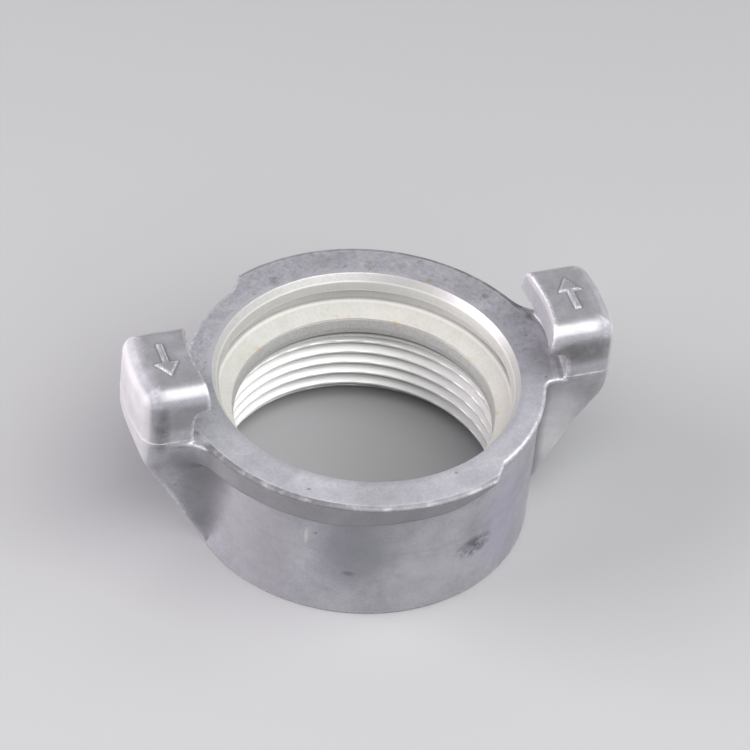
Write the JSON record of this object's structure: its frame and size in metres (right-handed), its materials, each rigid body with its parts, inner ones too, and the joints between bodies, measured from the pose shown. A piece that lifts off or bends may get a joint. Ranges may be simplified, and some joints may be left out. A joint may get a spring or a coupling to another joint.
{
  "type": "claw hose coupling half",
  "caption": "Twist-lock coupling half: a short cast barrel with hooked lugs, a stepped ramp flange, a seal ring in the mouth and a female pipe thread.",
  "frame": {"origin": "centre of the threaded end of the barrel", "axes": "+Z out of the sealing face, +X through the middle of a lug"},
  "size_m": [0.08, 0.0626, 0.0375],
  "materials": {
    "cast_aluminium": "as cast outside, turned bore and thread",
    "pale_rubber": "matte"
  },
  "bodies": {
    "root": {"coupling_body": "cast_aluminium", "seal_ring": "pale_rubber", "pipe_end_washer": "pale_rubber"}
  },
  "joints": []
}
